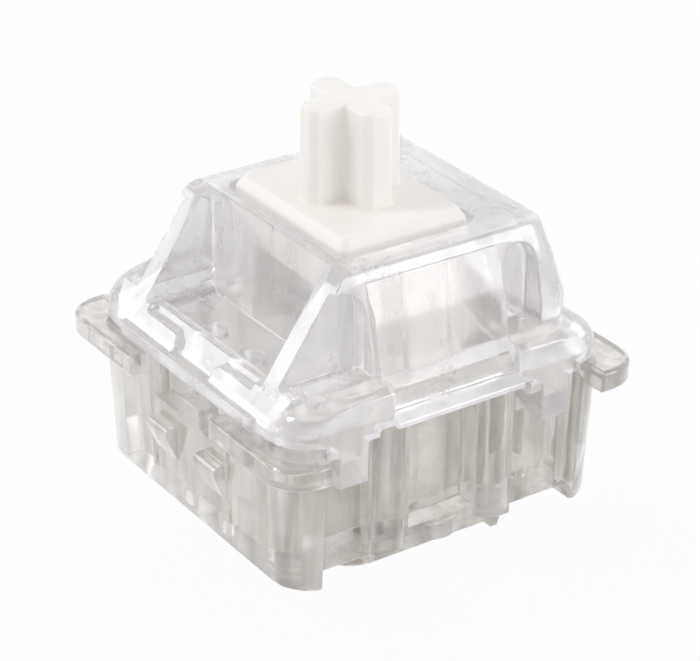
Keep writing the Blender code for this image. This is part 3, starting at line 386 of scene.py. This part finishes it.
@dataclass(frozen=True, kw_only=True)
class Finish:
    """What every finish sets: two tones with their roughness, its clouds and its fine surface."""

    name: str
    tone: Colour
    second_tone: Colour
    smooth: float
    dull: float
    cloud_scale: float
    wave_scale: float
    line_scale: float
    stretch: Stretch = (1.0, 1.0, 1.0)
    # The share of the streaks: drawn lines of the stock, and on clear plastic painted bands of refracted
    # light.
    line_and_painted_streak_share: float = 0.2
    bump: float = 0.2
    bump_depth: float = 0.01 * MM

    def plain_sockets(self) -> dict[str, object]:
        """Names the values that are the same all over the surface.

        Returns:
            The shader's sockets with their values.
        """
        return {}

    def make(self, effects: SharedEffects) -> bpy.types.Material:
        """Makes the material.

        Args:
            effects: The shared groups.

        Returns:
            A material with its colour, roughness and fine surface from its nodes.
        """
        material = bpy.data.materials.new(self.name)
        material.use_nodes = True
        sheet = NodeSheet(material.node_tree)
        shader = material.node_tree.nodes["Principled BSDF"]
        for name, value in self.plain_sockets().items():
            shader.inputs[name].default_value = value
        place = sheet.add("ShaderNodeTexCoord").outputs["Object"]
        grain = effects.grain.place(
            sheet,
            {
                "Place": place,
                "Wave Scale": self.wave_scale,
                "Line Scale": self.line_scale,
                "Stretch": self.stretch,
            },
        )
        haze = effects.haze.place(
            sheet,
            {
                "Place": place,
                "Scale": self.cloud_scale,
                "Clear": (*self.tone, 1.0),
                "Cloudy": (*self.second_tone, 1.0),
                "Smooth": self.smooth,
                "Dull": self.dull,
                # Painted streaks of refracted light on clear plastic, drawn lines of the stock on the other
                # finishes.
                "Streaks": grain.outputs["Lines"],
                "Drawn Line And Painted Streak Share": self.line_and_painted_streak_share,
            },
        )
        sheet.join(haze.outputs["Colour"], shader.inputs["Base Color"])
        sheet.join(haze.outputs["Roughness"], shader.inputs["Roughness"])
        bump = sheet.add("ShaderNodeBump")
        bump.inputs["Strength"].default_value = self.bump
        bump.inputs["Distance"].default_value = self.bump_depth
        sheet.join(grain.outputs["Height"], bump.inputs["Height"])
        sheet.join(bump.outputs["Normal"], shader.inputs["Normal"])
        return material


@dataclass(frozen=True, kw_only=True)
class ClearPlastic(Finish):
    """Clear plastic with a slightly milky body, painted bands of refracted light that run up its walls, and a
    polished skin.
    """

    transmission: float
    lamp_tint: Colour
    ior: float = 1.5
    polish: float = 1.0
    polish_roughness: float = 0.09
    cloud_scale: float = 420.0
    wave_scale: float = 300.0
    line_scale: float = 1400.0
    # Upright lines, painted strongly as bright and dark bands that stand for light refracted through the
    # walls.
    stretch: Stretch = (1.0, 1.0, 0.12)
    line_and_painted_streak_share: float = 0.6
    bump: float = 0.8
    bump_depth: float = 0.03 * MM

    def plain_sockets(self) -> dict[str, object]:
        """Names the values that are the same all over the surface.

        Returns:
            The shader's sockets with their values.
        """
        return {
            "Transmission Weight": self.transmission,
            "IOR": self.ior,
            "Coat Weight": self.polish,
            "Coat Roughness": self.polish_roughness,
        }

    def make(self, effects: SharedEffects) -> bpy.types.Material:
        """Makes the material, and lets the lamps reach what is behind the plastic.

        Args:
            effects: The shared groups.

        Returns:
            A material that bends what is seen through it and lets lamp light pass.
        """
        material = super().make(effects)
        sheet = NodeSheet(material.node_tree)
        clear = sheet.add("ShaderNodeBsdfTransparent")
        clear.inputs["Color"].default_value = (*self.lamp_tint, 1.0)
        is_lamp_light = sheet.add("ShaderNodeLightPath").outputs["Is Shadow Ray"]
        plastic = material.node_tree.nodes["Principled BSDF"].outputs[0]
        sheet.show_blend(is_lamp_light, plastic, clear.outputs[0], "Material Output")
        return material


@dataclass(frozen=True, kw_only=True)
class CreamPlastic(Finish):
    """Waxy plastic that light enters a little."""

    subsurface: float = 0.35
    depth: float = 1.2 * MM
    reach: Colour = (1.0, 0.95, 0.85)
    ior: float = 1.48

    def plain_sockets(self) -> dict[str, object]:
        """Names the values that are the same all over the surface.

        Returns:
            The shader's sockets with their values.
        """
        return {
            "Subsurface Weight": self.subsurface,
            "Subsurface Scale": self.depth,
            "Subsurface Radius": self.reach,
            "IOR": self.ior,
        }


@dataclass(frozen=True, kw_only=True)
class Metal(Finish):
    """Bare or plated metal."""

    def plain_sockets(self) -> dict[str, object]:
        """Names the values that are the same all over the surface.

        Returns:
            The shader's sockets with their values.
        """
        return {"Metallic": 1.0}


COVER_PLASTIC = ClearPlastic(
    name="cover_clear_plastic",
    tone=(0.998, 0.99, 0.996),
    second_tone=(0.90, 0.882, 0.894),
    smooth=0.06,
    dull=0.32,
    transmission=0.78,
    lamp_tint=(0.87, 0.862, 0.85),
)
BASE_PLASTIC = ClearPlastic(
    name="base_clear_plastic",
    tone=(0.975, 0.957, 0.93),
    second_tone=(0.56, 0.53, 0.495),
    smooth=0.04,
    dull=0.22,
    transmission=0.82,
    lamp_tint=(0.84, 0.825, 0.805),
)
SLIDER_PLASTIC = CreamPlastic(
    name="stem_cream_plastic",
    tone=(0.945, 0.922, 0.89),
    second_tone=(0.925, 0.90, 0.865),
    smooth=0.3,
    dull=0.42,
    cloud_scale=320.0,
    wave_scale=900.0,
    line_scale=2200.0,
)
SPRING_METAL = Metal(
    name="spring_bright_steel",
    tone=(0.60, 0.60, 0.61),
    second_tone=(0.42, 0.42, 0.43),
    smooth=0.18,
    dull=0.34,
    cloud_scale=700.0,
    wave_scale=1500.0,
    line_scale=3000.0,
    bump=0.15,
)
LEAF_METAL = Metal(
    name="contact_tinned_metal",
    tone=(0.62, 0.595, 0.55),
    second_tone=(0.43, 0.41, 0.375),
    smooth=0.25,
    dull=0.42,
    cloud_scale=500.0,
    wave_scale=1500.0,
    line_scale=2600.0,
    stretch=(0.15, 0.15, 1.6),
    bump=0.25,
)
POINT_METAL = Metal(
    name="crosspoint_gold",
    tone=(0.84, 0.74, 0.55),
    second_tone=(0.76, 0.66, 0.48),
    smooth=0.2,
    dull=0.32,
    cloud_scale=900.0,
    wave_scale=2500.0,
    line_scale=4000.0,
    bump=0.15,
)


# The parts of the switch


def smooth_mesh(work: bmesh.types.BMesh, name: str, sharp_deg: float) -> bpy.types.Mesh:
    """Turns a clean copy of a node into a mesh that is shaded smooth, apart from its sharp edges.

    Args:
        work: The copy, which is given up.
        name: The mesh's name.
        sharp_deg: The angle in degrees above which an edge stays sharp.

    Returns:
        The mesh.
    """
    mesh = bpy.data.meshes.new(name)
    work.to_mesh(mesh)
    work.free()
    mesh.attributes.remove(mesh.attributes["custom_normal"])
    mesh.shade_smooth()
    mesh.set_sharp_from_angle(angle=math.radians(sharp_deg))
    return mesh


@dataclass(frozen=True)
class Rounding:
    """The small radius that a moulded piece has along its edges, less where they crowd each other."""

    width: float
    segments: int = 2
    sharp_deg: float = 28.0
    flat_deg: float = 1.0
    merge: float = 0.001 * MM
    folded: float = -0.5
    reach: float = 1.5
    least: float = 0.2
    tries: int = 8

    def round(self, node: bpy.types.Object, name: str) -> bpy.types.Object:
        """Copies a node of the frame as one clean mesh and rounds its edges.

        Args:
            node: The node that the piece stands for.
            name: The piece's name.

        Returns:
            The rounded piece, with its place in its mesh.
        """
        work = self.merged(node)
        edges = [(edge.verts[0].co.copy(), edge.verts[1].co.copy()) for edge in work.edges]
        shares = [1.0 if self.is_sharp(edge) else 0.0 for edge in work.edges]
        own_faults = len(self.faults(work))
        mesh = smooth_mesh(work, name, self.sharp_deg)
        piece = place_in_scene(name, mesh)
        bevel = piece.modifiers.new("rounding", "BEVEL")
        bevel.width = self.width
        bevel.segments = self.segments
        bevel.limit_method = "WEIGHT"
        bevel.use_clamp_overlap = False
        bevel.miter_outer = "MITER_ARC"
        bevel.harden_normals = True
        mesh.attributes.new("bevel_weight_edge", "FLOAT", "EDGE")
        for _ in range(self.tries):
            mesh.attributes["bevel_weight_edge"].data.foreach_set("value", shares)
            mesh.update()
            faults = self.faults_of(piece)
            if len(faults) <= own_faults:
                break
            shares = self.eased(edges, shares, faults)
        return piece

    def merged(self, node: bpy.types.Object) -> bmesh.types.BMesh:
        """Merges a node's loose triangles, and joins those that lie in one plane.

        Args:
            node: The node of the frame, which stays as it is.

        Returns:
            The clean copy.
        """
        work = bmesh.new()
        work.from_mesh(node.data)
        bmesh.ops.remove_doubles(work, verts=work.verts, dist=self.merge)
        bmesh.ops.dissolve_limit(
            work, angle_limit=math.radians(self.flat_deg), verts=work.verts, edges=work.edges
        )
        bmesh.ops.dissolve_degenerate(work, dist=2 * self.merge, edges=work.edges)
        return work

    def is_sharp(self, edge: bmesh.types.BMEdge) -> bool:
        """Tells whether an edge is one that the mould would round."""
        return len(edge.link_faces) == 2 and edge.calc_face_angle() > math.radians(self.sharp_deg)

    def faults(self, work: bmesh.types.BMesh) -> list[Vector]:
        """Finds where the surface folds back on itself, and where a face's outline crosses itself.

        Args:
            work: The mesh.

        Returns:
            The middle of each folded edge, and each crossing.
        """
        found = [
            (edge.verts[0].co + edge.verts[1].co) / 2
            for edge in work.edges
            if len(edge.link_faces) == 2
            and edge.link_faces[0].normal.dot(edge.link_faces[1].normal) < self.folded
        ]
        for face in work.faces:
            found += self.crossings(face)
        return found

    @staticmethod
    def crossings(face: bmesh.types.BMFace) -> list[Vector]:
        """Finds where the outline of a nearly flat face crosses itself.

        Args:
            face: The face.

        Returns:
            The crossings.
        """
        steep = max(range(3), key=lambda axis: abs(face.normal[axis]))
        first_axis, second_axis = [axis for axis in range(3) if axis != steep]
        corners = [vert.co for vert in face.verts]
        flat = [Vector((corner[first_axis], corner[second_axis])) / MM for corner in corners]
        count = len(flat)
        found = []
        for first in range(count - 2):
            for second in range(first + 2, count - (first == 0)):
                after = (second + 1) % count
                met = intersect_line_line_2d(flat[first], flat[first + 1], flat[second], flat[after])
                if met:
                    share = (met - flat[first]).length / (flat[first + 1] - flat[first]).length
                    found.append(corners[first].lerp(corners[first + 1], share))
        return found

    def faults_of(self, piece: bpy.types.Object) -> list[Vector]:
        """Finds the faults of a piece as its modifiers leave it.

        Args:
            piece: The piece.

        Returns:
            Where its faults are.
        """
        bpy.context.view_layer.update()
        work = bmesh.new()
        work.from_object(piece, bpy.context.evaluated_depsgraph_get())
        found = self.faults(work)
        work.free()
        return found

    def eased(
        self, edges: list[tuple[Vector, Vector]], shares: list[float], faults: list[Vector]
    ) -> list[float]:
        """Halves the rounding of the edges beside each fault.

        Args:
            edges: The two ends of each edge.
            shares: The share of the full width that each edge has.
            faults: Where the surface went wrong.

        Returns:
            The new shares, with 0 for an edge that stays sharp.
        """
        new = []
        for (start, end), share in zip(edges, shares):
            near = self.reach * self.width * max(share, self.least)
            along = end - start
            if share and any(self.distance(start, along, point) < near for point in faults):
                share = share / 2 if share / 2 >= self.least else 0.0
            new.append(share)
        return new

    @staticmethod
    def distance(start: Vector, along: Vector, point: Vector) -> float:
        """Measures from a point to the nearest place on an edge."""
        share = (point - start).dot(along) / max(along.length_squared, SMALLEST_SQUARE)
        return (start + along * min(max(share, 0.0), 1.0) - point).length


@dataclass
class Assembly:
    """A sub-assembly with the nodes of the frame that it dresses and the shared effects."""

    nodes: dict[str, bpy.types.Object]
    effects: SharedEffects

    def moulded(
        self, node: str, name: str, body: Body, slot: Slot, rounding: Rounding, finish: Finish
    ) -> None:
        """Makes the rounded piece that stands for a moulded node, and dresses it.

        Args:
            node: The node that it replaces.
            name: The piece's name.
            body: The body that it rides on.
            slot: The record's slot of its finish; not used.
            rounding: The radius along its edges.
            finish: Its finish.
        """
        piece = rounding.round(self.nodes[node], name)
        piece.data.materials.append(finish.make(self.effects))
        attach(piece, body.value)
        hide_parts(node)
        LOG.info("%s: %s, rounded by %.2f mm", name, finish.name, rounding.width / MM)

    def dressed(self, names: tuple[str, ...], finish: Finish) -> None:
        """Gives nodes of the frame one finish.

        Args:
            names: The nodes.
            finish: The finish that their slots take.
        """
        material = finish.make(self.effects)
        for name in names:
            node = self.nodes[name]
            if not node.material_slots:
                node.data.materials.append(material)
            for slot in node.material_slots:
                slot.material = material
            LOG.info("%s: %s", name, finish.name)


@dataclass
class Housing(Assembly):
    """The clear base and the clear cover."""

    base_rounding: Rounding = Rounding(0.06 * MM)
    cover_rounding: Rounding = Rounding(0.07 * MM)

    def build(self) -> None:
        """Builds both halves."""
        halves = (
            ("bottom_housing", "clear_base", self.base_rounding, BASE_PLASTIC),
            ("top_housing", "clear_cover", self.cover_rounding, COVER_PLASTIC),
        )
        for node, name, rounding, finish in halves:
            self.moulded(node, name, Body.HOUSING, Slot.CLEAR, rounding, finish)


@dataclass
class Slider(Assembly):
    """The cream slider."""

    rounding: Rounding = Rounding(0.1 * MM, segments=3)

    def build(self) -> None:
        """Builds the slider."""
        self.moulded("stem", "cream_slider", Body.SLIDER, Slot.CREAM, self.rounding, SLIDER_PLASTIC)


@dataclass
class ReturnSpring(Assembly):
    """The coil spring, which shortens between the base and the slider as the slider goes down."""

    foot_height: float = 1.0 * MM
    travel: float = 4.0 * MM
    merge: float = 0.001 * MM
    sharp_deg: float = 50.0

    def build(self) -> None:
        """Makes the spring as one smooth wire on the housing's body."""
        work = bmesh.new()
        work.from_mesh(self.nodes["return_spring"].data)
        bmesh.ops.remove_doubles(work, verts=work.verts, dist=self.merge)
        mesh = smooth_mesh(work, "coil_spring", self.sharp_deg)
        mesh.materials.append(SPRING_METAL.make(self.effects))
        piece = place_in_scene("coil_spring", mesh)
        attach(piece, Body.HOUSING.value)
        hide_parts("return_spring")
        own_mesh(piece)


@dataclass
class Contacts(Assembly):
    """The two contact leaves and their crosspoints."""

    def build(self) -> None:
        """Dresses the leaves and the crosspoints."""
        self.dressed(("fixed_contact_leaf", "moving_contact_leaf"), LEAF_METAL)
        self.dressed(("fixed_contact_point", "moving_contact_point"), POINT_METAL)


# The studio


def direction(azimuth: float, elevation: float) -> Vector:
    """Turns two angles in degrees into a direction.

    Args:
        azimuth: The angle round the object, from its front towards its right.
        elevation: The angle above the floor.

    Returns:
        The unit vector that points that way.
    """
    turn, rise = math.radians(azimuth), math.radians(elevation)
    return Vector((math.sin(turn) * math.cos(rise), -math.cos(turn) * math.cos(rise), math.sin(rise)))


def background_share(sheet: NodeSheet, straight: float, bent: float) -> Socket:
    """Finds the rays that show the background: straight ones, and those in gloss or through plastic.

    Args:
        sheet: The nodes of the floor or the surroundings.
        straight: The share of white on a ray from the camera.
        bent: The share of white on a reflected or refracted ray.

    Returns:
        The share of white that the ray gets.
    """
    path = sheet.add("ShaderNodeLightPath")
    either = sheet.math("MAXIMUM", path.outputs["Is Glossy Ray"], path.outputs["Is Transmission Ray"])
    direct = sheet.math("MULTIPLY", path.outputs["Is Camera Ray"], straight)
    return sheet.math("MAXIMUM", direct, sheet.math("MULTIPLY", either, bent))


@dataclass(frozen=True, kw_only=True)
class Lamp:
    """A studio lamp, whose spread is a softbox's width or a distant lamp's angle."""

    name: str
    kind: Light
    azimuth: float
    elevation: float
    strength: float
    spread: float
    distance: float = 300 * MM

    def build(self, aim: Vector) -> None:
        """Makes the lamp.

        Args:
            aim: The point that it faces.
        """
        data = bpy.data.lights.new(self.name, self.kind.value)
        data.energy = self.strength
        if self.kind is Light.SOFTBOX:
            data.shape = "SQUARE"
            data.size = self.spread
        else:
            data.angle = self.spread
        lamp = place_in_scene(self.name, data)
        away = direction(self.azimuth, self.elevation)
        lamp.location = aim + away * self.distance
        lamp.rotation_euler = away.to_track_quat("Z", "Y").to_euler()


LAMPS = (
    Lamp(
        name="key_lamp",
        kind=Light.DISTANT,
        azimuth=-30.0,
        elevation=46.0,
        strength=0.65,
        spread=math.radians(16.0),
    ),
    Lamp(
        name="low_lamp",
        kind=Light.DISTANT,
        azimuth=-49.0,
        elevation=14.0,
        strength=0.42,
        spread=math.radians(26.0),
    ),
    Lamp(
        name="fill_lamp",
        kind=Light.DISTANT,
        azimuth=124.0,
        elevation=20.0,
        strength=0.8,
        spread=math.radians(34.0),
    ),
    Lamp(
        name="back_lamp",
        kind=Light.SOFTBOX,
        azimuth=200.0,
        elevation=35.0,
        strength=0.06,
        spread=160 * MM,
        distance=260 * MM,
    ),
)


@dataclass(frozen=True)
class Floor:
    """The pale floor, which shows nearly white and keeps the object's shadow."""

    height: float
    radius: float = 900 * MM
    sides: int = 96
    tone: Colour = (0.85, 0.85, 0.85)
    glow: float = 0.95
    seen_through: float = 0.82

    def build(self) -> None:
        """Makes the floor."""
        work = bmesh.new()
        bmesh.ops.create_circle(work, cap_ends=True, segments=self.sides, radius=self.radius)
        bmesh.ops.translate(work, verts=work.verts, vec=(0.0, 0.0, self.height))
        mesh = bpy.data.meshes.new("studio_floor")
        work.to_mesh(mesh)
        work.free()
        mesh.materials.append(self.material())
        place_in_scene("studio_floor", mesh)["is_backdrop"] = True

    def material(self) -> bpy.types.Material:
        """Makes the floor's material.

        Returns:
            Matt grey that takes shadow, under a white that only the background's rays see.
        """
        material = bpy.data.materials.new("studio_floor")
        material.use_nodes = True
        sheet = NodeSheet(material.node_tree)
        shader = material.node_tree.nodes["Principled BSDF"]
        shader.inputs["Base Color"].default_value = (*self.tone, 1.0)
        shader.inputs["Roughness"].default_value = 1.0
        shader.inputs["Specular IOR Level"].default_value = 0.0
        white = sheet.add("ShaderNodeEmission")
        share = background_share(sheet, self.glow, self.seen_through)
        sheet.show_blend(share, shader.outputs[0], white.outputs[0], "Material Output")
        return material


@dataclass(frozen=True)
class Surroundings:
    """Soft light on the object from all round, and plain white where the surroundings are seen."""

    tone: Colour = (1.0, 0.99, 0.985)
    ambient: float = 0.65

    def build(self) -> None:
        """Makes the scene's world."""
        world = bpy.data.worlds.new("studio_surroundings")
        bpy.context.scene.world = world
        world.use_nodes = True
        sheet = NodeSheet(world.node_tree)
        soft = world.node_tree.nodes["Background"]
        soft.inputs["Color"].default_value = (*self.tone, 1.0)
        soft.inputs["Strength"].default_value = self.ambient
        white = sheet.add("ShaderNodeBackground")
        white.inputs["Color"].default_value = (1.0, 1.0, 1.0, 1.0)
        share = background_share(sheet, straight=1.0, bent=1.0)
        sheet.show_blend(share, soft.outputs[0], white.outputs[0], "World Output")


@dataclass(frozen=True)
class PhotoCamera:
    """The camera at the photograph's place, with its roll and its picture shift."""

    azimuth: float = 55.3195
    elevation: float = 27.0202
    roll: float = 0.6416
    distance: float = 95.8521 * MM
    focal_px: float = 2587.376
    axis_px: tuple[float, float] = (348.32, 304.81)
    sensor_width: float = 36.0
    nearest: float = 1.0 * MM
    farthest: float = 10.0

    def build(self, aim: Vector) -> None:
        """Makes the camera.

        Args:
            aim: The point on the camera's axis that its distance is measured from.
        """
        data = bpy.data.cameras.new("photo_camera")
        data.sensor_fit = "HORIZONTAL"
        data.sensor_width = self.sensor_width
        data.lens = self.focal_px * self.sensor_width / IMAGE_WIDTH
        data.shift_x = (IMAGE_WIDTH / 2 - self.axis_px[0]) / IMAGE_WIDTH
        data.shift_y = (self.axis_px[1] - IMAGE_HEIGHT / 2) / IMAGE_WIDTH
        data.clip_start = self.nearest
        data.clip_end = self.farthest
        camera = place_in_scene("photo_camera", data)
        azimuth = math.radians(self.azimuth)
        back = direction(self.azimuth, self.elevation)
        level = Vector((math.cos(azimuth), math.sin(azimuth), 0.0))
        right = Matrix.Rotation(math.radians(self.roll), 3, back) @ level
        up = back.cross(right)
        place = Matrix((right, up, back)).transposed().to_4x4()
        place.translation = aim + back * self.distance
        camera.matrix_world = place
        bpy.context.scene.camera = camera


@dataclass
class Studio:
    """The floor, the surroundings, the lamps and the camera."""

    floor_height: float
    centre: Vector = field(default_factory=lambda: Vector((0.0, 0.0, 7.0 * MM)))

    def build(self) -> None:
        """Builds the whole studio."""
        Floor(self.floor_height).build()
        Surroundings().build()
        for lamp in LAMPS:
            lamp.build(self.centre)
        PhotoCamera().build(self.centre)
        LOG.info("studio: floor, surroundings, %d lamps and camera", len(LAMPS))


@dataclass(frozen=True)
class LightDepth:
    """How many walls of clear plastic the light goes through before it is given up."""

    walls: int = 40
    reflections: int = 12
    scatterings: int = 12

    def apply(self) -> None:
        """Sets the depth for this scene."""
        cycles = bpy.context.scene.cycles
        cycles.max_bounces = self.walls
        cycles.transmission_bounces = self.walls
        cycles.glossy_bounces = self.reflections
        cycles.diffuse_bounces = self.scatterings


def main() -> None:
    """Builds the parts and the studio in order, with the floor just under the frame's box."""
    logging.basicConfig(level=logging.INFO, format="%(name)s: %(message)s")
    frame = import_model()
    cad_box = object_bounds()
    effects = SharedEffects()
    nodes = frame["nodes"]
    for part in (Housing, Slider, ReturnSpring, Contacts):
        part(nodes, effects).build()
    Studio(floor_height=cad_box[0][2] - FLOOR_GAP).build()
    LightDepth().apply()
    bpy.context.scene.view_settings.view_transform = "Standard"


if __name__ == "__main__":
    main()
